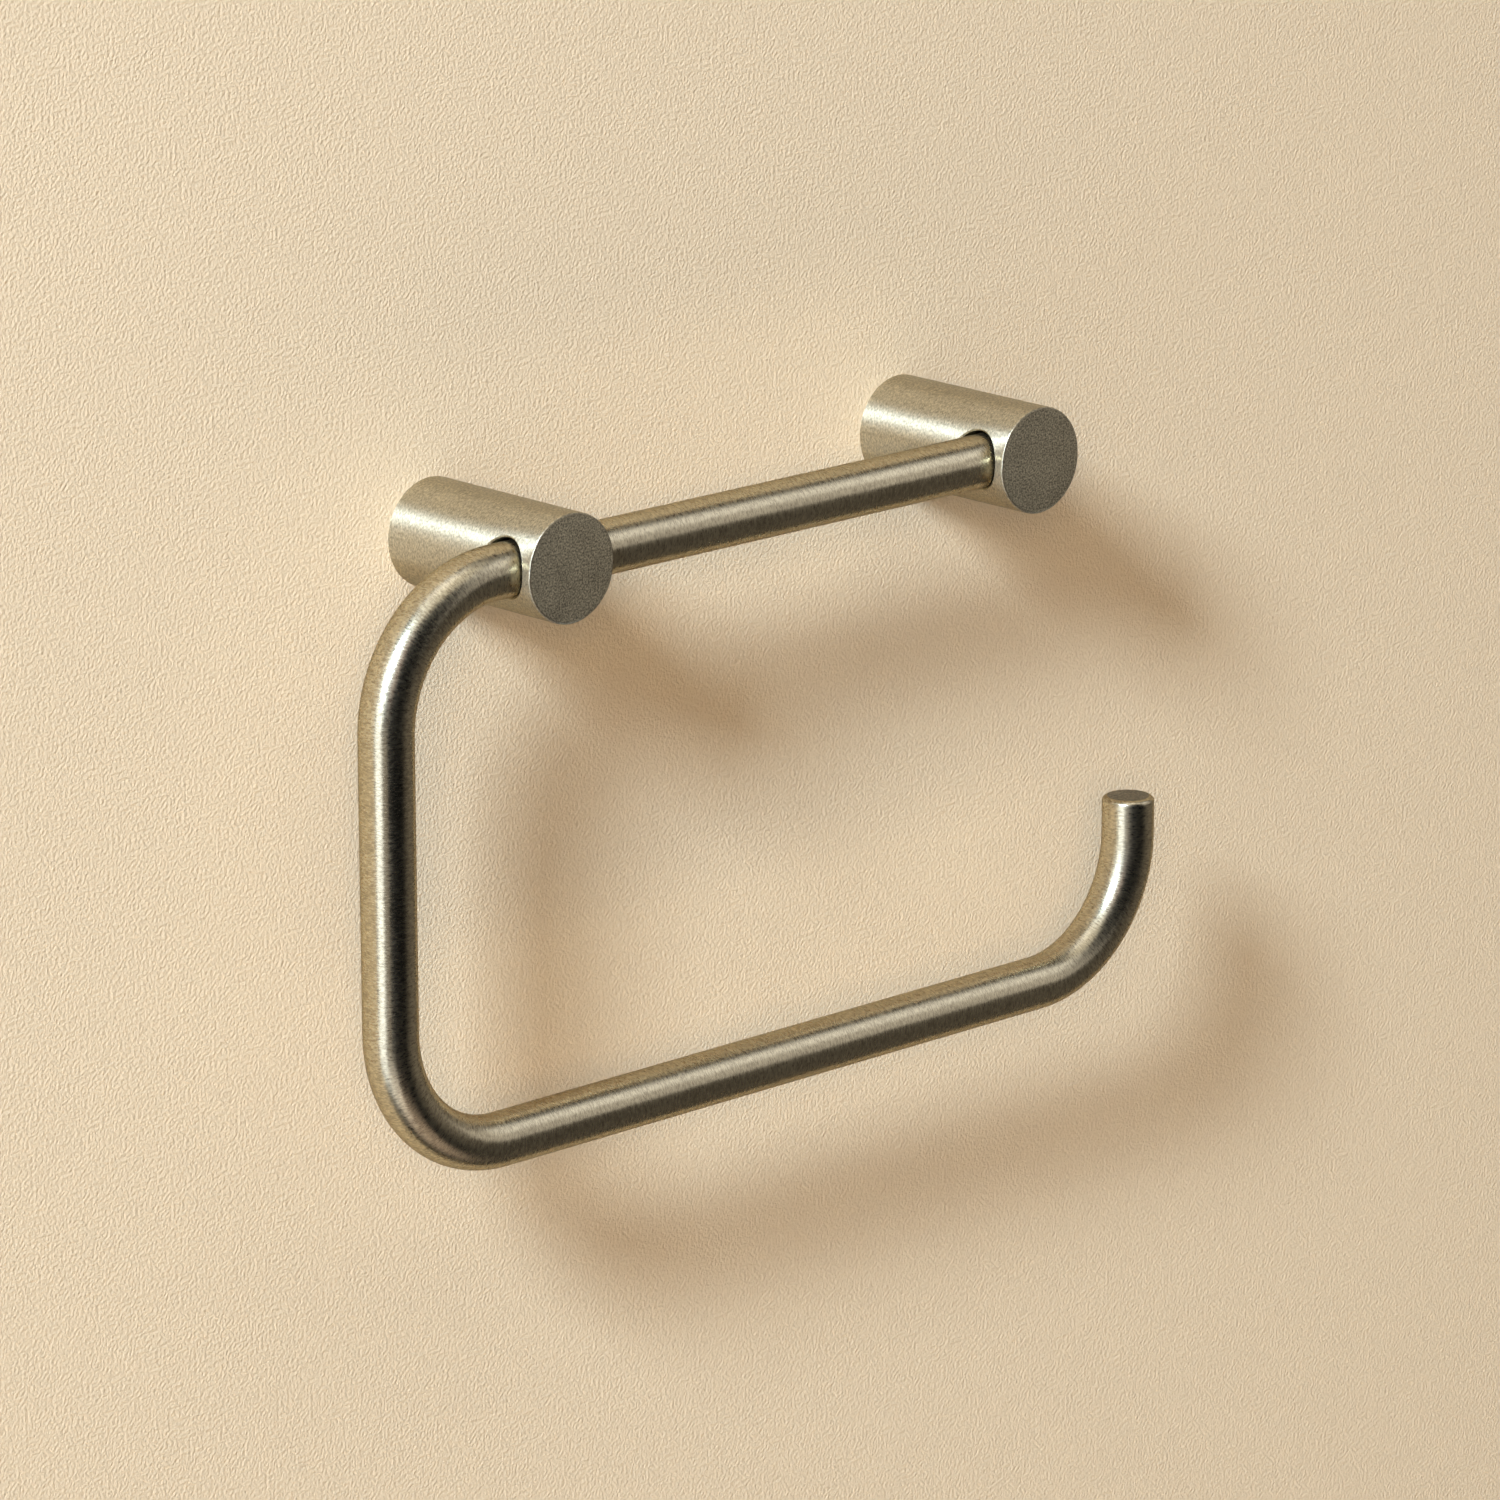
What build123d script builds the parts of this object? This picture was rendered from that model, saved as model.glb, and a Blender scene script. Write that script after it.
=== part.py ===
"""Wall-mounted toilet paper holder: a bent roll bar that swings in two turned posts.

Frame: the wall is the plane y = 0, +Y points into the wall, -Y out into the room, +X to the right
and +Z up. The origin lies on the wall, midway between the two posts' axes, and the bar's swing axis
runs along X at the posts' own height. All sizes are in millimetres.
"""
import os

from build123d import *

# Roll bar, bent from round stock on one bending die
bar_diameter = 8.0
bend_radius = 20.0  # to the bar's centre line
leg_straight = 43.0  # straight run of the leg, between its two bends
arm_straight = 108.0  # straight run of the arm, which carries the roll
tip_straight = 5.5  # straight run of the upturned tip, above its bend
tip_round = 0.8
inner_end_chamfer = 0.5
bend_to_post = 1.5  # from the left post's side to the start of the first bend
bar_past_post = 4.0  # from the right post's axis to the bar's inner end

# Wall bosses, one inside each post, each held by a countersunk wall screw
wall_screw_hole = 4.5
wall_screw_head = 8.4
head_rim = 1.2  # metal left round the countersink
lock_to_wall = 7.0  # from the wall to the lock groove
boss_nose = 5.0  # boss beyond the lock groove
boss_chamfer = 0.3
lock_groove_depth = 0.8  # a right-angled groove, as wide on each side as it is deep

# Posts, turned from solid bar
post_spacing = 93.0  # between the posts' axes, and so between the wall screws
socket_clearance = 0.2  # on the diameter, between boss and socket
post_wall = 2.5  # round the socket
head_room = 2.0  # for the screw's head, between boss and socket floor
socket_web = 5.7  # solid metal between the socket and the bar's bore
front_wall = 1.7  # between the bore and the front face
front_edge_round = 0.3
bore_clearance = 0.6  # on the diameter, between bar and bore
bar_seat_gap = 0.05  # under the bar, which rests on the bottom of its bore
bore_mouth_chamfer = 0.25
bore_end_gap = 0.5  # from the bar's inner end to the floor of the blind bore

# Grub screws, set from below and out of sight
screw_diameter = 3.0
thread_clearance = 0.1  # on the diameter
screw_recess = 0.4  # below the post's skin
screw_chamfer = 0.3
key_across_flats = 1.5
key_depth = 1.2
point_flat = 0.4  # diameter of the blunt end of a cone point
lock_gap = 0.05  # along the screw, between its cone point and the sides of the lock groove
dog_diameter = 2.0
dog_shoulder_gap = 0.2  # from the keeper's shoulder to the bore
keeper_groove_depth = 1.0
keeper_play = 0.2  # endwise, on each side of the dog
dog_gap = 0.3  # from the end of the dog to the floor of the bar's groove

# Sizes and places that follow
bar_radius = bar_diameter / 2
boss_radius = wall_screw_head / 2 + head_rim
boss_length = lock_to_wall + boss_nose
socket_radius = boss_radius + socket_clearance / 2
socket_depth = boss_length + head_room
post_radius = socket_radius + post_wall
bore_radius = bar_radius + bore_clearance / 2
bore_lift = bore_clearance / 2 - bar_seat_gap  # bore axis above the bar's, so that the bar rests low
bar_to_wall = socket_depth + socket_web + bore_radius
post_length = bar_to_wall + bore_radius + front_wall
post_x = {"left": -post_spacing / 2, "right": post_spacing / 2}
bar_end_x = post_x["right"] + bar_past_post
leg_x = post_x["left"] - post_radius - bend_to_post - bend_radius
tip_x = leg_x + arm_straight + 2 * bend_radius
arm_z = -leg_straight - 2 * bend_radius
tip_z = arm_z + bend_radius + tip_straight
screw_radius = screw_diameter / 2
screw_hole_radius = screw_radius + thread_clearance / 2
screw_foot_z = screw_recess - post_radius


def build_post(side, bore_end_x, screws_to_wall):
    """A post: wall socket, bore for the bar up to bore_end_x, and its screw holes from below."""
    left_side_x = post_x[side] - post_radius
    with BuildPart() as post:
        with BuildSketch(Plane.XZ):
            with Locations((post_x[side], 0)):
                Circle(post_radius)
        extrude(amount=post_length)
        fillet(post.faces().sort_by(Axis.Y).first.edges(), front_edge_round)
        with BuildSketch(Plane.XZ):
            with Locations((post_x[side], 0)):
                Circle(socket_radius)
        extrude(amount=socket_depth, mode=Mode.SUBTRACT)
        with BuildSketch(Plane.YZ.offset(left_side_x)):
            with Locations((-bar_to_wall, bore_lift)):
                Circle(bore_radius)
        extrude(amount=bore_end_x - left_side_x, mode=Mode.SUBTRACT)
        chamfer(post.edges(Select.LAST).filter_by(GeomType.BSPLINE), bore_mouth_chamfer)
        with BuildSketch(Plane.XY.offset(-post_radius)):
            with Locations([(post_x[side], -screw_to_wall) for screw_to_wall in screws_to_wall]):
                Circle(screw_hole_radius)
        extrude(amount=post_radius, mode=Mode.SUBTRACT)
    return post


def build_wall_boss(side):
    """A wall boss: a turned stub with a lock groove round it and a countersunk hole along it."""
    hole_radius = wall_screw_hole / 2
    head_radius = wall_screw_head / 2
    nose_y = -boss_length
    with BuildPart() as boss:
        with BuildSketch(Plane.XY.move(Location((post_x[side], 0, 0)))):
            with BuildLine():
                Polyline(
                    (hole_radius, 0),
                    (boss_radius, 0),
                    (boss_radius, lock_groove_depth - lock_to_wall),
                    (boss_radius - lock_groove_depth, -lock_to_wall),
                    (boss_radius, -lock_groove_depth - lock_to_wall),
                    (boss_radius, nose_y + boss_chamfer),
                    (boss_radius - boss_chamfer, nose_y),
                    (head_radius, nose_y),
                    (hole_radius, nose_y + head_radius - hole_radius),
                    close=True,
                )
            make_face()
        revolve(axis=Axis((post_x[side], 0, 0), (0, 1, 0)))
    return boss


def build_grub_screw(screw_x, screw_y, point):
    """A grub screw that stands on end under a post: point holds the (radius, height) steps of its end."""
    with BuildPart() as screw:
        with BuildSketch(Plane.XZ.offset(-screw_y).move(Location((screw_x, 0, 0)))):
            with BuildLine():
                Polyline(
                    (0, screw_foot_z),
                    (screw_radius - screw_chamfer, screw_foot_z),
                    (screw_radius, screw_foot_z + screw_chamfer),
                    *point,
                    (0, point[-1][1]),
                    close=True,
                )
            make_face()
        revolve(axis=Axis((screw_x, screw_y, 0), (0, 0, 1)))
        with BuildSketch(Plane.XY.offset(screw_foot_z)):
            with Locations((screw_x, screw_y)):
                RegularPolygon(key_across_flats / 2, 6, major_radius=False)
        extrude(amount=key_depth, mode=Mode.SUBTRACT)
    return screw


# The bar runs from the right post through the left one, then down, back along the arm and up to its tip
with BuildPart() as roll_bar:
    with BuildLine(Plane.XZ.offset(bar_to_wall)) as centre_line:
        FilletPolyline(
            (bar_end_x, 0),
            (leg_x, 0),
            (leg_x, arm_z),
            (tip_x, arm_z),
            (tip_x, tip_z),
            radius=bend_radius,
        )
    with BuildSketch(Plane(origin=centre_line.line @ 0, z_dir=centre_line.line % 0)):
        Circle(bar_radius)
    sweep(path=centre_line.line)
    chamfer(roll_bar.faces().filter_by(Axis.X).sort_by(Axis.X).last.edges(), inner_end_chamfer)
    fillet(roll_bar.faces().filter_by(Axis.Z).sort_by(Axis.X).last.edges(), tip_round)
    # The keeper's groove runs right round the bar, so that the bar can turn but not slide out
    with BuildSketch(Plane.YZ.offset(post_x["right"])):
        with Locations((-bar_to_wall, 0)):
            Circle(bar_diameter)
            Circle(bar_radius - keeper_groove_depth, mode=Mode.SUBTRACT)
    extrude(amount=dog_diameter / 2 + keeper_play, both=True, mode=Mode.SUBTRACT)

# The bar passes right through the left post and ends in a blind bore in the right one
left_post = build_post("left", post_x["left"] + post_radius, [lock_to_wall])
right_post = build_post("right", bar_end_x + bore_end_gap, [lock_to_wall, bar_to_wall])

left_wall_boss = build_wall_boss("left")
right_wall_boss = build_wall_boss("right")

# The lock screws' cone points draw the posts onto their bosses
lock_tip_z = lock_groove_depth - boss_radius - point_flat / 2 - lock_gap
cone_height = screw_radius - point_flat / 2
cone_point = [(screw_radius, lock_tip_z - cone_height), (point_flat / 2, lock_tip_z)]
left_lock_screw = build_grub_screw(post_x["left"], -lock_to_wall, cone_point)
right_lock_screw = build_grub_screw(post_x["right"], -lock_to_wall, cone_point)

# The keeper's dog stands in the bar's groove
shoulder_z = bore_lift - bore_radius - dog_shoulder_gap
dog_radius = dog_diameter / 2
dog_point = [
    (screw_radius, shoulder_z),
    (dog_radius, shoulder_z),
    (dog_radius, keeper_groove_depth - bar_radius - dog_gap),
]
bar_keeper_screw = build_grub_screw(post_x["right"], -bar_to_wall, dog_point)

pieces = {
    "roll_bar": roll_bar,
    "left_post": left_post,
    "right_post": right_post,
    "left_wall_boss": left_wall_boss,
    "right_wall_boss": right_wall_boss,
    "left_lock_screw": left_lock_screw,
    "right_lock_screw": right_lock_screw,
    "bar_keeper_screw": bar_keeper_screw,
}
os.makedirs("parts", exist_ok=True)
for name, piece in pieces.items():
    piece.part.label = name
    export_step(piece.part, f"parts/{name}.step")
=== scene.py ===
"""A wall-mounted toilet paper holder in brushed steel: a bent bar that swings in two turned posts.

The script works in metres, in the part's own frame: the wall is the plane y = 0, -Y points out into the
room, +X to the right and +Z up.
"""
import math

import bpy
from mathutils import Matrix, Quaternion, Vector


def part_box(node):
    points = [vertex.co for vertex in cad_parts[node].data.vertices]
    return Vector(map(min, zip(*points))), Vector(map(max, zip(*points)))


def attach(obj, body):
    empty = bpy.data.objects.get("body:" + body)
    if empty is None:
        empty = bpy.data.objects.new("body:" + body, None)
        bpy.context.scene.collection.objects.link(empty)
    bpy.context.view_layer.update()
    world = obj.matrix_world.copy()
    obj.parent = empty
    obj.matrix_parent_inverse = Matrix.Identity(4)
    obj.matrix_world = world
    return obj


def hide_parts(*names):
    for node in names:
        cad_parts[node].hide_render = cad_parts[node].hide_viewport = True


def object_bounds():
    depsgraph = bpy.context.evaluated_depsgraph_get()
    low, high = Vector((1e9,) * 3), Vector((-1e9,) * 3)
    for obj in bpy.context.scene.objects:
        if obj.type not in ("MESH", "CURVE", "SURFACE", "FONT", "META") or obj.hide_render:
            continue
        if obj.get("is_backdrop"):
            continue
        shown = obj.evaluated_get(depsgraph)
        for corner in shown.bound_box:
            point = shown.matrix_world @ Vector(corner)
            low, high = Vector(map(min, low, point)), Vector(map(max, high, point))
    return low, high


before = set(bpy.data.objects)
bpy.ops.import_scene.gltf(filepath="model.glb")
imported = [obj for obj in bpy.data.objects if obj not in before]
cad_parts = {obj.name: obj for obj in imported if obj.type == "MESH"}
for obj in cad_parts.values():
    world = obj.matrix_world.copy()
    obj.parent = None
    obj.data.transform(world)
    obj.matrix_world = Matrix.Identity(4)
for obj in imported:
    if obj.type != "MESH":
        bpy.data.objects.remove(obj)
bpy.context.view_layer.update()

# Wall bosses
# Two stubs of plain turned steel, one hidden in each post. A countersunk screw through each holds it on
# the wall, and the groove round it takes the point of the post's lock screw.
MM = 0.001
SIDES = ("left", "right")
QUARTER_TURN = math.radians(90)
OUT_OF_WALL = (QUARTER_TURN, 0, 0)
SMOOTH_ANGLE = math.radians(25)
RING_MERGE_GAP = 0.0002 * MM
BOSS_SEGMENTS = 96
NOISE_SPAN = (0.3, 0.7)
ROUGHNESS_PLAY = 0.03
post_x = {}
for side in SIDES:
    low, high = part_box(f"{side}_post")
    post_x[side] = (low.x + high.x) / 2
low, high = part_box("left_wall_boss")
boss_radius = (high.x - low.x) / 2
boss_length = high.y - low.y
boss_hole_radius = 2.25 * MM
boss_head_radius = 4.2 * MM
boss_chamfer = 0.3 * MM
lock_to_wall = 7.0 * MM
lock_groove_depth = 0.8 * MM


def pick(piece):
    """Makes a piece the only one that is selected."""
    bpy.ops.object.select_all(action="DESELECT")
    piece.select_set(True)
    bpy.context.view_layer.objects.active = piece


def draw_rings(name, rings, segments):
    """Draws a circle out along Z, as a lathe cuts a profile: rings holds (radius, height) pairs."""
    bpy.ops.object.select_all(action="DESELECT")
    radius, height = rings[0]
    bpy.ops.mesh.primitive_circle_add(vertices=segments, radius=radius, fill_type="NOTHING")
    piece = bpy.context.active_object
    piece.name = name
    piece.data.name = name
    bpy.ops.object.mode_set(mode="EDIT")
    bpy.ops.transform.translate(value=(0, 0, height))
    for next_radius, next_height in rings[1:]:
        bpy.ops.mesh.extrude_edges_move(TRANSFORM_OT_translate={"value": (0, 0, next_height - height)})
        growth = next_radius / radius
        bpy.ops.transform.resize(value=(growth, growth, 1), center_override=(0, 0, next_height))
        radius, height = next_radius, next_height
    return piece


def close_up(piece):
    """Joins the rings that meet, fills the open ones, turns the faces outwards and leaves edit mode."""
    bpy.ops.mesh.select_all(action="SELECT")
    bpy.ops.mesh.remove_doubles(threshold=RING_MERGE_GAP)
    bpy.ops.mesh.select_all(action="DESELECT")
    bpy.ops.mesh.select_mode(type="EDGE")
    bpy.ops.mesh.select_non_manifold()
    bpy.ops.mesh.edge_face_add()
    bpy.ops.mesh.select_all(action="SELECT")
    bpy.ops.mesh.normals_make_consistent(inside=False)
    bpy.ops.object.mode_set(mode="OBJECT")


def stand(piece, place, turn=(0, 0, 0)):
    """Turns a piece that was drawn along Z and sets it in its place, with the place kept in its mesh."""
    piece.rotation_euler = turn
    piece.location = place
    pick(piece)
    bpy.ops.object.transform_apply(location=True, rotation=True, scale=True)


def smooth(piece):
    pick(piece)
    bpy.ops.object.shade_smooth_by_angle(angle=SMOOTH_ANGLE)


def about_post(side):
    """How the points of a piece turned about a post's axis lie: (across, up, out of the wall)."""
    return lambda spot: Vector((spot.x - post_x[side], spot.z, -spot.y))


def lay_straight(piece, straight):
    """Notes where each point would lie if the piece were straight: (across, out, along), in metres.

    The brushing follows that place, and the UV map unrolls it: U runs along the piece and V round it.
    """
    mesh = piece.data
    places = [straight(vertex.co) for vertex in mesh.vertices]
    note = mesh.attributes.new("straight_place", "FLOAT_VECTOR", "POINT")
    for index, place in enumerate(places):
        note.data[index].vector = place
    sheet = mesh.uv_layers.new(name="unrolled")
    for face in mesh.polygons:
        middle = sum((places[index] for index in face.vertices), Vector()) / len(face.vertices)
        middle_angle = math.atan2(middle.y, middle.x)
        for corner, index in zip(face.loop_indices, face.vertices):
            across, out, along = places[index]
            angle = math.atan2(out, across)
            angle += math.tau * round((middle_angle - angle) / math.tau)
            sheet.data[corner].uv = (along, angle * math.hypot(across, out))


def add(tree, kind, inputs, **settings):
    """Adds a node: each of its inputs is a value, or the output of another node that feeds it."""
    node = tree.nodes.new(kind)
    for name, value in settings.items():
        setattr(node, name, value)
    for name, value in inputs.items():
        if isinstance(value, bpy.types.NodeSocket):
            tree.links.new(value, node.inputs[name])
        else:
            node.inputs[name].default_value = value
    return node


def noise(tree, place, scale, detail, roughness=0.5):
    """Noise drawn out by its scale: three numbers, in grains per metre along each way of the place."""
    drawn_out = add(tree, "ShaderNodeMapping", {"Vector": place, "Scale": scale})
    texture = add(tree, "ShaderNodeTexNoise", {
        "Vector": drawn_out.outputs["Vector"], "Scale": 1.0, "Detail": detail, "Roughness": roughness})
    return texture.outputs["Fac"]


def spread(tree, value, span, result):
    """Turns one stretch of a value, its span, into another, the result."""
    stretch = add(tree, "ShaderNodeMapRange", {
        "Value": value, "From Min": span[0], "From Max": span[1],
        "To Min": result[0], "To Max": result[1]})
    return stretch.outputs["Result"]


def sum_of(tree, first, second):
    return add(tree, "ShaderNodeMath", {0: first, 1: second}, operation="ADD").outputs["Value"]


def tint(tree, share, first, second):
    """A colour between two, by a share from 0 to 1.

    The node's sockets have the same names for every kind of data, so the colour's own go by number.
    """
    mix = add(tree, "ShaderNodeMix", {0: share, 6: (*first, 1), 7: (*second, 1)}, data_type="RGBA")
    return mix.outputs[2]


def emboss(tree, shader, relief, height):
    """Raises a pattern on a finish, up to its height."""
    bump = add(tree, "ShaderNodeBump", {"Height": relief, "Strength": 1.0, "Distance": height})
    tree.links.new(bump.outputs["Normal"], shader.inputs["Normal"])


def steel(name):
    """A bare metal to finish: its material, its node tree and its shader."""
    edge_tint = (0.50, 0.46, 0.40)
    material = bpy.data.materials.new(name)
    material.use_nodes = True
    shader = material.node_tree.nodes["Principled BSDF"]
    shader.inputs["Metallic"].default_value = 1.0
    shader.inputs["Specular Tint"].default_value = (*edge_tint, 1)
    return material, material.node_tree, shader


def brushed_steel(name, pale, dark, roughness, blur_along, streak_height, grain):
    """Steel brushed round its length: short streaks side by side, a faint haze and a few long scratches.

    The grain is the number of streaks in a metre across, out and along.
    """
    material, tree, shader = steel(name)
    place = add(tree, "ShaderNodeAttribute", {}, attribute_name="straight_place").outputs["Vector"]
    streaks = noise(tree, place, scale=grain, detail=3.0, roughness=0.6)
    scratches = noise(tree, place, scale=(130, 130, 1500), detail=2.0)
    haze = noise(tree, place, scale=(60, 60, 45), detail=3.0)
    streak_share = spread(tree, streaks, span=(0.34, 0.66), result=(0.0, 1.0))
    tree.links.new(tint(tree, streak_share, dark, pale), shader.inputs["Base Color"])
    roughness_span = (roughness - ROUGHNESS_PLAY, roughness + ROUGHNESS_PLAY)
    streak_roughness = spread(tree, streaks, NOISE_SPAN, roughness_span)
    haze_roughness = spread(tree, haze, NOISE_SPAN, result=(-0.02, 0.04))
    tree.links.new(sum_of(tree, streak_roughness, haze_roughness), shader.inputs["Roughness"])
    scratch_relief = spread(tree, scratches, span=(0.25, 0.36), result=(-0.5, 0.0))
    emboss(tree, shader, sum_of(tree, streaks, scratch_relief), streak_height)
    tangent = add(tree, "ShaderNodeTangent", {}, direction_type="UV_MAP", uv_map="unrolled")
    tree.links.new(tangent.outputs["Tangent"], shader.inputs["Tangent"])
    shader.inputs["Anisotropic"].default_value = blur_along
    return material


boss_side_steel = brushed_steel(
    "boss_side_steel", pale=(0.58, 0.565, 0.54), dark=(0.42, 0.41, 0.39), roughness=0.30, blur_along=0.5,
    streak_height=0.015 * MM, grain=(30, 30, 4200))
for side in SIDES:
    boss = draw_rings(f"{side}_boss_turned", [
        (boss_hole_radius, 0),
        (boss_radius, 0),
        (boss_radius, lock_to_wall - lock_groove_depth),
        (boss_radius - lock_groove_depth, lock_to_wall),
        (boss_radius, lock_to_wall + lock_groove_depth),
        (boss_radius, boss_length - boss_chamfer),
        (boss_radius - boss_chamfer, boss_length),
        (boss_head_radius, boss_length),
        (boss_hole_radius, boss_length - (boss_head_radius - boss_hole_radius)),
        (boss_hole_radius, 0),
    ], BOSS_SEGMENTS)
    close_up(boss)
    stand(boss, (post_x[side], 0, 0), OUT_OF_WALL)
    lay_straight(boss, about_post(side))
    smooth(boss)
    boss.data.materials.append(boss_side_steel)
    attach(boss, "posts")
    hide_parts(f"{side}_wall_boss")

# Posts
# Two plain posts turned from solid steel bar. The sides are brushed round the post and the front face is
# blasted matt. A socket at the back slips over the wall boss, and the bar's bore is drilled across.
CUT_MERGE_GAP = 0.004 * MM
TOUCH = 0.001 * MM
POST_SEGMENTS = 256
SCREW_HOLE_SEGMENTS = 64
low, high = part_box("left_post")
post_radius = (high.x - low.x) / 2
post_length = high.y - low.y
low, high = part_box("roll_bar")
bar_radius = (high.y - low.y) / 2
bar_y = (high.y + low.y) / 2
bar_z = high.z - bar_radius
socket_radius = 5.5 * MM
socket_depth = 14.0 * MM
front_edge_round = 0.3 * MM
front_edge_steps = 5
bore_play = 0.3 * MM
bore_lift = 0.25 * MM
bore_past_post = 4.5 * MM
bore_radius = bar_radius + bore_play
bore_z = bar_z + bore_lift
bore_end_x = post_x["right"] + bore_past_post
bore_chamfer = 0.25 * MM
bore_margin = 1.0 * MM
screw_hole_radius = 1.55 * MM


def round_over(radius, top, rounding, steps):
    """The (radius, height) steps that round off the edge of a bar's end."""
    turns = [QUARTER_TURN * step / steps for step in range(steps + 1)]
    return [(radius - rounding * (1 - math.cos(turn)), top - rounding * (1 - math.sin(turn)))
            for turn in turns]


def cut(piece, cutter):
    """Cuts one piece's shape out of another, joins the points that meet and takes the cutter away."""
    pick(piece)
    tool = piece.modifiers.new("cut", "BOOLEAN")
    tool.operation = "DIFFERENCE"
    tool.solver = "EXACT"
    tool.object = cutter
    bpy.ops.object.modifier_apply(modifier=tool.name)
    bpy.data.objects.remove(cutter)
    bpy.ops.object.mode_set(mode="EDIT")
    bpy.ops.mesh.select_all(action="SELECT")
    bpy.ops.mesh.remove_doubles(threshold=CUT_MERGE_GAP)
    bpy.ops.mesh.dissolve_degenerate(threshold=CUT_MERGE_GAP)
    bpy.ops.object.mode_set(mode="OBJECT")


def bore_cutter(axis_x, end_x=None):
    """A drill for the bar's bore, right through or as far as end_x.

    It flares at each mouth, and the flare follows the post's round side as a small chamfer. Each ring
    holds its radius, its side of the post, its depth below that side, and its own x where it is flat.
    """
    def mouth_rings(way):
        outside = axis_x + way * (post_radius + bore_margin)
        return [(bore_radius + bore_chamfer, way, 0, outside),
                (bore_radius + bore_chamfer, way, 0, None),
                (bore_radius, way, bore_chamfer, None)]
    rings = mouth_rings(-1)
    rings += mouth_rings(1)[::-1] if end_x is None else [(bore_radius, 1, 0, end_x)]
    steps = [(ring[0], index * MM) for index, ring in enumerate(rings)]
    cutter = draw_rings("bore_cutter", steps, POST_SEGMENTS)
    close_up(cutter)
    for vertex in cutter.data.vertices:
        radius, way, depth, flat_x = rings[round(vertex.co.z / MM)]
        angle = math.atan2(vertex.co.y, vertex.co.x)
        z = bore_z + radius * math.sin(angle)
        on_side = axis_x + way * (math.sqrt(post_radius ** 2 - z ** 2) - depth)
        vertex.co = (on_side if flat_x is None else flat_x, bar_y + radius * math.cos(angle), z)
    pick(cutter)
    bpy.ops.object.mode_set(mode="EDIT")
    bpy.ops.mesh.select_all(action="SELECT")
    bpy.ops.mesh.normals_make_consistent(inside=False)
    bpy.ops.object.mode_set(mode="OBJECT")
    return cutter


def blasted_steel(name, pale, dark, roughness, grain_height):
    """Steel blasted matt: fine pits, the same every way, and faint patches."""
    material, tree, shader = steel(name)
    place = add(tree, "ShaderNodeTexCoord", {}).outputs["Object"]
    pits = noise(tree, place, scale=(3400, 3400, 3400), detail=2.0, roughness=0.6)
    patches = noise(tree, place, scale=(240, 240, 240), detail=3.0)
    pit_share = spread(tree, pits, span=(0.38, 0.62), result=(0.0, 0.85))
    share = sum_of(tree, pit_share, spread(tree, patches, NOISE_SPAN, result=(0.0, 0.15)))
    tree.links.new(tint(tree, share, dark, pale), shader.inputs["Base Color"])
    roughness_span = (roughness - ROUGHNESS_PLAY, roughness + ROUGHNESS_PLAY)
    tree.links.new(spread(tree, patches, NOISE_SPAN, roughness_span), shader.inputs["Roughness"])
    emboss(tree, shader, pits, grain_height)
    return material


post_side_steel = brushed_steel(
    "post_side_steel", pale=(0.79, 0.71, 0.52), dark=(0.39, 0.345, 0.25), roughness=0.46, blur_along=0.88,
    streak_height=0.01 * MM, grain=(2400, 2400, 4400))
post_face_steel = blasted_steel(
    "post_face_steel", pale=(0.73, 0.62, 0.42), dark=(0.215, 0.18, 0.122), roughness=0.67,
    grain_height=0.02 * MM)
for side in SIDES:
    post = draw_rings(f"{side}_post_brushed", [
        (socket_radius, socket_depth),
        (socket_radius, 0),
        (post_radius, 0),
        (post_radius, -bar_y - bore_radius - bore_margin),
        *round_over(post_radius, post_length, front_edge_round, front_edge_steps),
    ], POST_SEGMENTS)
    close_up(post)
    stand(post, (post_x[side], 0, 0), OUT_OF_WALL)
    if side == "left":
        cut(post, bore_cutter(post_x[side]))
        screw_places = [-lock_to_wall]
    else:
        cut(post, bore_cutter(post_x[side], bore_end_x))
        screw_places = [-lock_to_wall, bar_y]
    for screw_y in screw_places:
        bpy.ops.mesh.primitive_cylinder_add(
            vertices=SCREW_HOLE_SEGMENTS, radius=screw_hole_radius, depth=post_radius,
            location=(post_x[side], screw_y, -post_radius))
        cut(post, bpy.context.active_object)
    lay_straight(post, about_post(side))
    smooth(post)
    post.data.materials.clear()
    post.data.materials.append(post_side_steel)
    post.data.materials.append(post_face_steel)
    for face in post.data.polygons:
        face.material_index = int(face.center.y < -post_length + TOUCH)
    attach(post, "posts")
    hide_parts(f"{side}_post")

# Lock screws and keeper screw
# Small steel grub screws with a hexagon socket, driven in from below. Two cone points lock the posts on
# their bosses, and one blunt dog point stands in a groove of the bar to keep it from sliding out.
SCREW_SEGMENTS = 48
KEY_SIDES = 6
screw_radius = 1.5 * MM
foot_chamfer = 0.3 * MM
thread_depth = 0.27 * MM
thread_pitch = 0.5 * MM
thread_steps = 8
key_across_flats = 1.5 * MM
key_radius = key_across_flats / 2 / math.cos(math.pi / KEY_SIDES)
key_depth = 1.2 * MM
cone_height = 1.3 * MM
cone_tip_radius = 0.2 * MM
dog_height = 0.95 * MM
dog_radius = 1.0 * MM
screw_plain_steel = blasted_steel(
    "screw_plain_steel", pale=(0.40, 0.40, 0.39), dark=(0.26, 0.26, 0.25), roughness=0.42,
    grain_height=0.006 * MM)


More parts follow.
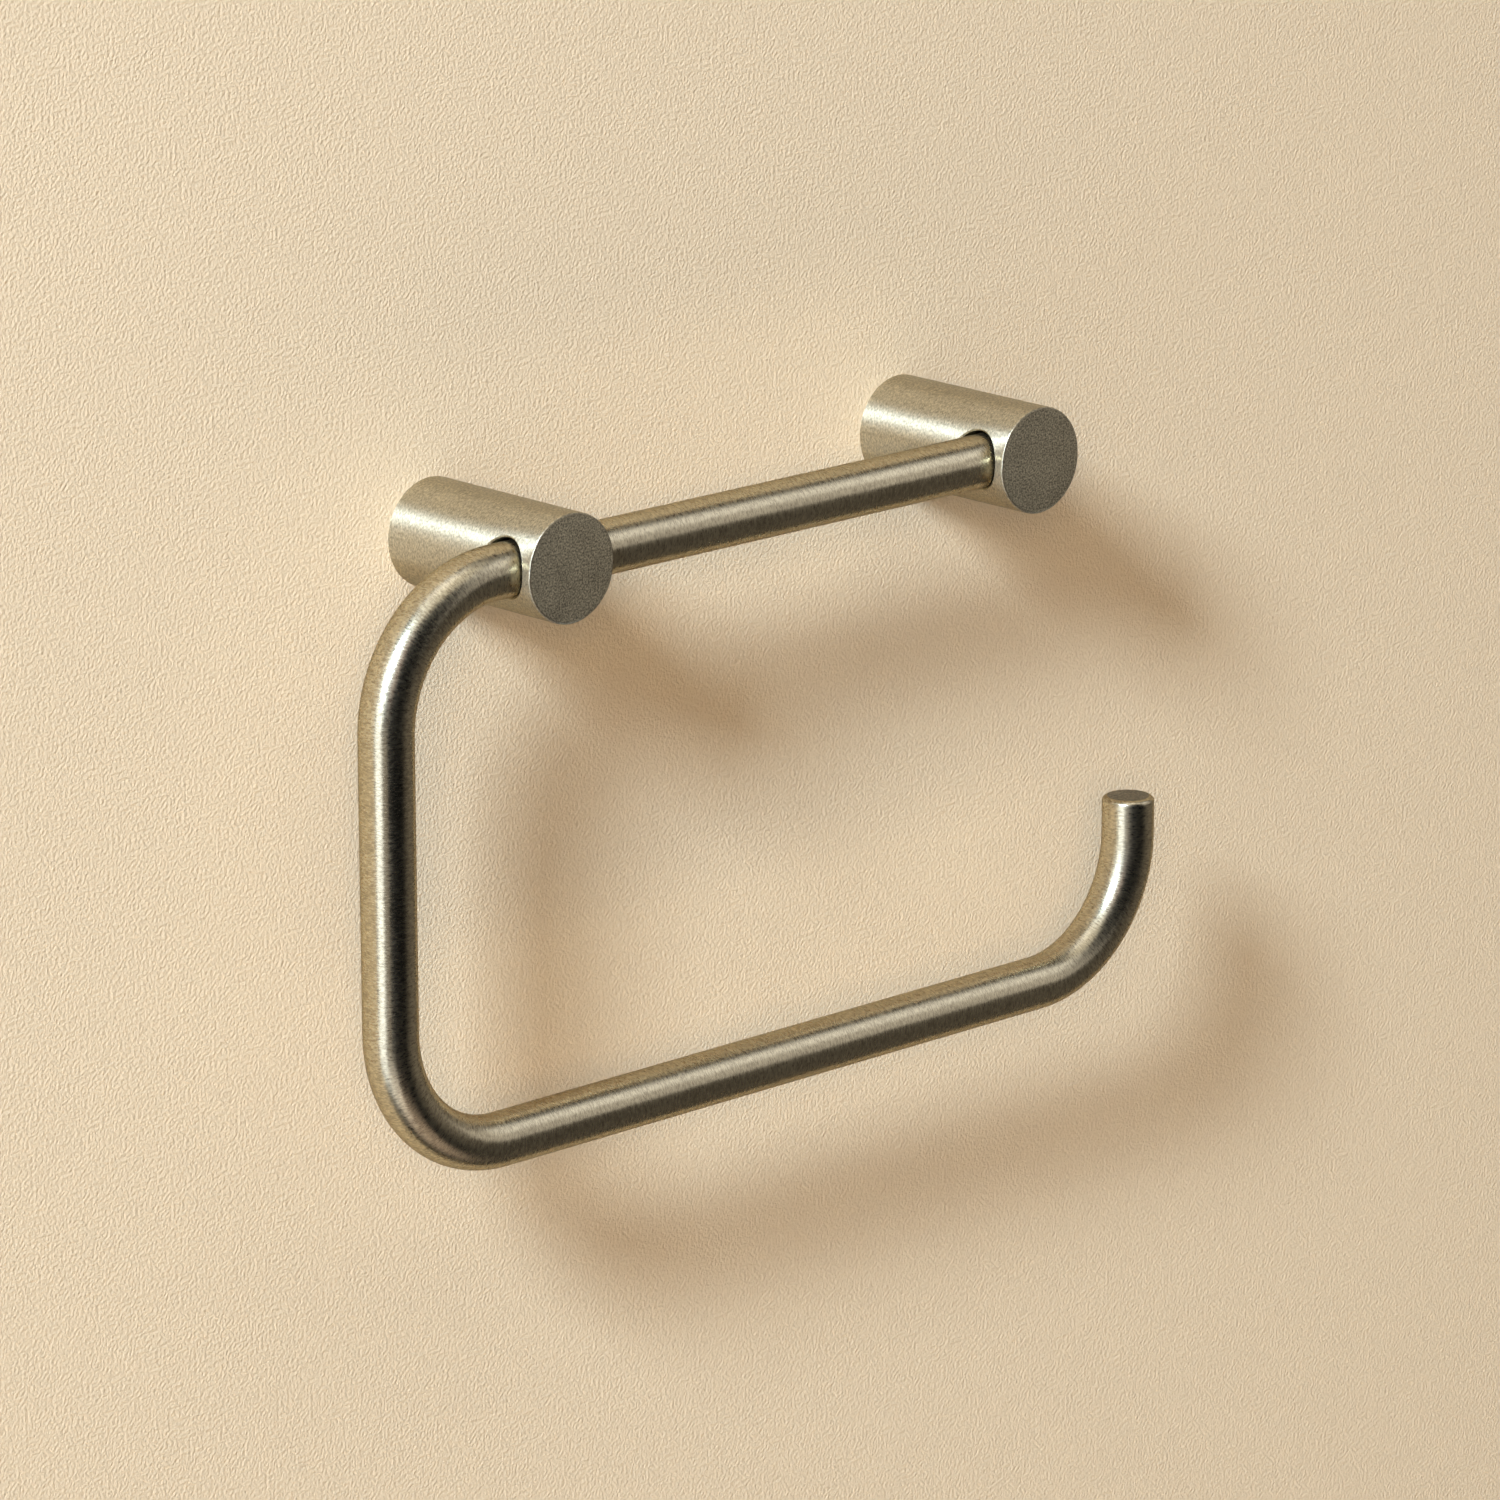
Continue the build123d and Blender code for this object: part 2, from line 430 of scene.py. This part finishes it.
def grub_screw(name, node, point):
    """A grub screw that fills its CAD node's place: point holds (radius, height below the top) steps."""
    low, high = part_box(node)
    length = high.z - low.z
    thread_length = length - point[0][1] - foot_chamfer
    thread_rows = round(thread_length / thread_pitch * thread_steps)
    rings = [(screw_radius - foot_chamfer, 0)]
    for row in range(thread_rows + 1):
        rings.append((screw_radius, foot_chamfer + thread_length * row / thread_rows))
    rings += [(radius, length - below) for radius, below in point[1:]]
    screw = draw_rings(name, rings, SCREW_SEGMENTS)
    close_up(screw)
    for vertex in screw.data.vertices:
        height = vertex.co.z - foot_chamfer
        on_side = abs(vertex.co.xy.length - screw_radius) <= TOUCH
        if on_side and 0 < height < thread_length:
            turns = height / thread_pitch - math.atan2(vertex.co.y, vertex.co.x) / math.tau
            groove = abs(2 * (turns % 1) - 1)
            vertex.co.xy *= 1 - groove * thread_depth / screw_radius
    bpy.ops.mesh.primitive_cylinder_add(vertices=KEY_SIDES, radius=key_radius, depth=2 * key_depth)
    cut(screw, bpy.context.active_object)
    stand(screw, ((low.x + high.x) / 2, (low.y + high.y) / 2, low.z))
    smooth(screw)
    screw.data.materials.clear()
    screw.data.materials.append(screw_plain_steel)
    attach(screw, "posts")
    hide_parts(node)


cone_point = [(screw_radius, cone_height), (cone_tip_radius, 0)]
dog_point = [(screw_radius, dog_height), (dog_radius, dog_height), (dog_radius, 0)]
grub_screw("left_lock_screw_threaded", "left_lock_screw", cone_point)
grub_screw("right_lock_screw_threaded", "right_lock_screw", cone_point)
grub_screw("keeper_screw_threaded", "bar_keeper_screw", dog_point)

# Roll bar
# One length of 8 mm round steel, brushed round its length while straight and then bent on one die. It
# runs through both posts, down the leg, back along the arm that carries the roll, and up into a short tip.
BAR_SEGMENTS = 128
BEND_STEPS = 64
X_AXIS = 0
Z_AXIS = 2
low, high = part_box("roll_bar")
bend_radius = 20.0 * MM
leg_x = low.x + bar_radius
tip_x = high.x - bar_radius
arm_z = low.z + bar_radius
tip_top = -57.5 * MM
tip_round = 0.8 * MM
tip_round_steps = 6
bar_past_post = 4.0 * MM
bar_end_x = post_x["right"] + bar_past_post
bar_end_chamfer = 0.5 * MM
keeper_groove_width = 2.4 * MM
keeper_groove_depth = 1.0 * MM
top_bend_x = leg_x + bend_radius
tip_bend_x = tip_x - bend_radius
leg_top = bar_z - bend_radius
leg_foot = arm_z + bend_radius


def run(move):
    bpy.ops.mesh.extrude_edges_move(TRANSFORM_OT_translate={"value": move})


def neck(growth, place, along):
    """Widens or narrows the last ring about its middle, square to the bar's run."""
    value = [growth, growth, growth]
    value[along] = 1
    bpy.ops.transform.resize(value=value, center_override=place)


def bend(middle_x, middle_z):
    """Bends the bar on from its last ring by a quarter turn."""
    bpy.ops.mesh.spin(
        steps=BEND_STEPS, angle=QUARTER_TURN, center=(middle_x, bar_y, middle_z), axis=(0, 1, 0))


bpy.ops.object.select_all(action="DESELECT")
bpy.ops.mesh.primitive_circle_add(
    vertices=BAR_SEGMENTS, radius=bar_radius - bar_end_chamfer, fill_type="NOTHING",
    location=(bar_end_x, bar_y, bar_z), rotation=(0, QUARTER_TURN, 0))
bar = bpy.context.active_object
bar.name = "roll_bar_brushed"
bar.data.name = bar.name
bpy.ops.object.transform_apply(location=True, rotation=True, scale=True)
bpy.ops.object.mode_set(mode="EDIT")
full_bar_x = bar_end_x - bar_end_chamfer
run((-bar_end_chamfer, 0, 0))
neck(bar_radius / (bar_radius - bar_end_chamfer), (full_bar_x, bar_y, bar_z), X_AXIS)
groove_start = post_x["right"] + keeper_groove_width / 2
groove_share = (bar_radius - keeper_groove_depth) / bar_radius
run((groove_start - full_bar_x, 0, 0))
run((0, 0, 0))
neck(groove_share, (groove_start, bar_y, bar_z), X_AXIS)
run((-keeper_groove_width, 0, 0))
run((0, 0, 0))
neck(1 / groove_share, (groove_start - keeper_groove_width, bar_y, bar_z), X_AXIS)
run((top_bend_x - groove_start + keeper_groove_width, 0, 0))
bend(top_bend_x, leg_top)
run((0, 0, leg_foot - leg_top))
bend(top_bend_x, leg_foot)
run((tip_bend_x - top_bend_x, 0, 0))
bend(tip_bend_x, leg_foot)
ring_radius = bar_radius
ring_z = leg_foot
for next_radius, next_z in round_over(bar_radius, tip_top, tip_round, tip_round_steps):
    run((0, 0, next_z - ring_z))
    neck(next_radius / ring_radius, (tip_x, bar_y, next_z), Z_AXIS)
    ring_radius, ring_z = next_radius, next_z
close_up(bar)
smooth(bar)

bend_length = QUARTER_TURN * bend_radius
top_bend_start = bar_end_x - top_bend_x
leg_start = top_bend_start + bend_length
foot_bend_start = leg_start + leg_top - leg_foot
arm_start = foot_bend_start + bend_length
tip_bend_start = arm_start + tip_bend_x - top_bend_x
tip_start = tip_bend_start + bend_length


def round_bend(x, z, middle_x, middle_z, from_degrees):
    """How far a point lies outside a bend's centre line, and how far round the bend it is."""
    angle = math.atan2(z - middle_z, x - middle_x) - math.radians(from_degrees)
    return math.hypot(x - middle_x, z - middle_z) - bend_radius, angle % math.tau * bend_radius


def straighten_bar(spot):
    """Where a point of the bar lay before the bar was bent."""
    x, y, z = spot
    if z > leg_top and x > top_bend_x:
        across, along = z - bar_z, bar_end_x - x
    elif z > leg_top:
        across, along = round_bend(x, z, top_bend_x, leg_top, 90)
        along += top_bend_start
    elif x < top_bend_x and z > leg_foot:
        across, along = leg_x - x, leg_start + leg_top - z
    elif x < top_bend_x:
        across, along = round_bend(x, z, top_bend_x, leg_foot, 180)
        along += foot_bend_start
    elif x < tip_bend_x:
        across, along = arm_z - z, arm_start + x - top_bend_x
    elif z < leg_foot:
        across, along = round_bend(x, z, tip_bend_x, leg_foot, 270)
        along += tip_bend_start
    else:
        across, along = x - tip_x, tip_start + z - leg_foot
    return Vector((across, y - bar_y, along))


lay_straight(bar, straighten_bar)
bar_side_steel = brushed_steel(
    "bar_side_steel", pale=(0.73, 0.66, 0.48), dark=(0.39, 0.345, 0.25), roughness=0.27, blur_along=0.3,
    streak_height=0.012 * MM, grain=(1400, 1400, 4200))
bar_end_steel = blasted_steel(
    "bar_end_steel", pale=(0.38, 0.33, 0.235), dark=(0.18, 0.155, 0.11), roughness=0.67,
    grain_height=0.008 * MM)
bar.data.materials.clear()
bar.data.materials.append(bar_side_steel)
bar.data.materials.append(bar_end_steel)
# Only the bar's two end faces have more than four corners
for face in bar.data.polygons:
    face.material_index = int(len(face.vertices) > 4)
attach(bar, "bar")
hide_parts("roll_bar")

# Backdrop
# A plain pale wall behind the holder and a plain pale floor below it. Each is seen only from its painted
# side, so that the holder can be looked at from behind and from below.
wall_y = -0.05 * MM
wall_width = 4.0
wall_top = 1.6
floor_z = -1.2
floor_depth = 1.2
paint_colour = (0.89, 0.74, 0.545)
peel_height = 0.2 * MM


def painted(name, colour):
    """Matt paint with a roller's faint orange peel, seen from its front only."""
    paint = bpy.data.materials.new(name)
    paint.use_nodes = True
    tree = paint.node_tree
    shader = tree.nodes["Principled BSDF"]
    shader.inputs["Base Color"].default_value = (*colour, 1)
    shader.inputs["Roughness"].default_value = 0.85
    shader.inputs["Specular IOR Level"].default_value = 0.15
    place = add(tree, "ShaderNodeTexCoord", {}).outputs["Object"]
    emboss(tree, shader, noise(tree, place, scale=(2000, 2000, 2000), detail=2.0), peel_height)
    see_through = add(tree, "ShaderNodeBsdfTransparent", {})
    behind = add(tree, "ShaderNodeNewGeometry", {}).outputs["Backfacing"]
    one_sided = add(tree, "ShaderNodeMixShader", {
        0: behind, 1: shader.outputs["BSDF"], 2: see_through.outputs["BSDF"]})
    tree.links.new(one_sided.outputs["Shader"], tree.nodes["Material Output"].inputs["Surface"])
    return paint


bpy.ops.object.select_all(action="DESELECT")
bpy.ops.mesh.primitive_plane_add(size=1)
wall = bpy.context.active_object
wall.name = "backdrop_wall"
wall.scale = (wall_width, wall_top - floor_z, 1)
stand(wall, (0, wall_y, (wall_top + floor_z) / 2), OUT_OF_WALL)
wall.data.materials.append(painted("wall_paint", paint_colour))
wall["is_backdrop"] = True
bpy.ops.object.select_all(action="DESELECT")
bpy.ops.mesh.primitive_plane_add(size=1)
floor = bpy.context.active_object
floor.name = "backdrop_floor"
floor.scale = (wall_width, floor_depth, 1)
stand(floor, (0, wall_y - floor_depth / 2, floor_z))
floor.data.materials.append(painted("floor_paint", paint_colour))
floor.visible_glossy = False
floor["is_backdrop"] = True

# Light
# Soft studio light. A key panel high on the left throws the shadows, and a warm fill beside the camera
# lifts them. A tall panel on the left and two weaker ones light wall and steel alike, and the cards show
# in the steel alone.
light_middle = Vector((0, -0.02, -0.04))
glow_colour = (1.0, 0.86, 0.70)
pale_room_colour = (0.86, 0.82, 0.76)


def panel(name, azimuth, elevation, size, distance, power, colour, on_wall=True, in_steel=True):
    """A soft box that faces the holder: azimuth runs from the left along the wall to front and right."""
    azimuth = math.radians(azimuth)
    elevation = math.radians(elevation)
    way = Vector((-math.cos(elevation) * math.cos(azimuth),
                  -math.cos(elevation) * math.sin(azimuth), math.sin(elevation)))
    bpy.ops.object.light_add(type="AREA", location=light_middle + distance * way)
    lamp = bpy.context.active_object
    lamp.name = name
    lamp.rotation_euler = (-way).to_track_quat("-Z", "Y").to_euler()
    lamp.data.shape = "RECTANGLE"
    lamp.data.size, lamp.data.size_y = size
    lamp.data.energy = power
    lamp.data.color = colour
    lamp.visible_camera = False
    lamp.visible_diffuse = on_wall
    lamp.visible_glossy = in_steel


panel("left_panel", azimuth=16, elevation=-2, size=(2.03, 6.9), distance=4.5, power=104,
      colour=(0.84, 0.90, 1.0))
panel("left_low_panel", azimuth=39, elevation=-16, size=(0.8, 0.8), distance=2.0, power=0.7,
      colour=(1.0, 0.86, 0.72))
panel("high_panel", azimuth=80, elevation=62, size=(2.0, 1.2), distance=2.0, power=7,
      colour=(1.0, 0.92, 0.80))
panel("key_panel", azimuth=23.75, elevation=31.9, size=(0.46, 0.64), distance=2.9, power=112,
      colour=(0.76, 0.895, 1.0), in_steel=False)
panel("fill_panel", azimuth=47, elevation=16, size=(1.0, 1.0), distance=4.0, power=44,
      colour=(1.0, 0.70, 0.41), in_steel=False)
panel("key_card", azimuth=23.75, elevation=31.9, size=(0.2025, 0.288), distance=1.93, power=42,
      colour=(0.64, 0.80, 1.0), on_wall=False)
panel("front_card", azimuth=46, elevation=24, size=(0.8, 1.1), distance=2.0, power=1.6,
      colour=(1.0, 0.76, 0.70), on_wall=False)
panel("top_card", azimuth=60, elevation=80, size=(1.2, 0.7), distance=2.0, power=3.0,
      colour=(0.98, 0.97, 1.0), on_wall=False)
panel("low_card", azimuth=44, elevation=-43, size=(1.0, 0.8), distance=2.0, power=3.0,
      colour=(1.0, 0.95, 0.95), on_wall=False)
panel("low_front_card", azimuth=85, elevation=-57, size=(1.5, 1.1), distance=2.0, power=2.6,
      colour=(1.0, 0.78, 0.65), on_wall=False)
panel("right_card", azimuth=136, elevation=24, size=(1.6, 1.7), distance=2.2, power=4.9,
      colour=(1.0, 0.95, 0.92), on_wall=False)
panel("right_high_card", azimuth=146, elevation=38, size=(1.2, 0.9), distance=2.2, power=2.2,
      colour=(0.90, 0.93, 1.0), on_wall=False)

room = bpy.data.worlds.new("room")
room.use_nodes = True
tree = room.node_tree
way = add(tree, "ShaderNodeTexCoord", {}).outputs["Generated"]
ways = add(tree, "ShaderNodeSeparateXYZ", {"Vector": way}).outputs
right_glow = spread(tree, ways["X"], span=(0.4, 0.9), result=(0.0, 0.19))
floor_glow = spread(tree, ways["Z"], span=(-0.5, -0.9), result=(0.0, 0.03))
rear_glow = spread(tree, ways["Y"], span=(0.0, 0.4), result=(0.0, 0.5))
glow = sum_of(tree, sum_of(tree, right_glow, floor_glow), rear_glow)
background = tree.nodes["Background"]
tree.links.new(glow, background.inputs["Strength"])
background.inputs["Color"].default_value = (*glow_colour, 1)
pale_room = add(tree, "ShaderNodeBackground", {"Color": (*pale_room_colour, 1), "Strength": 0.8})
seen = add(tree, "ShaderNodeLightPath", {}).outputs["Is Camera Ray"]
behind_all = add(tree, "ShaderNodeMixShader", {
    0: seen, 1: background.outputs["Background"], 2: pale_room.outputs["Background"]})
tree.links.new(behind_all.outputs["Shader"], tree.nodes["World Output"].inputs["Surface"])
bpy.context.scene.world = room

# Camera
# It stands to the left of the holder, a little above it and far off, and looks at it through a long lens,
# as in the photograph.
azimuth = math.radians(43.3139)
elevation = math.radians(15.5532)
roll = math.radians(-0.1679)
distance = 1.16813
target = Vector((-6.794, -24.0, -35.133)) * MM
focal_length_px = 8081.0184
photo_width_px = 1500
sensor_width_mm = 36
forward = Vector((
    math.sin(azimuth) * math.cos(elevation),
    math.cos(azimuth) * math.cos(elevation),
    -math.sin(elevation)))
bpy.ops.object.camera_add(location=target - distance * forward)
camera = bpy.context.active_object
look = forward.to_track_quat("-Z", "Y") @ Quaternion((0, 0, 1), roll)
camera.rotation_euler = look.to_euler()
camera.data.sensor_width = sensor_width_mm
camera.data.lens = focal_length_px / photo_width_px * sensor_width_mm
bpy.context.scene.camera = camera
bpy.context.scene.view_settings.view_transform = "Standard"

low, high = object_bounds()
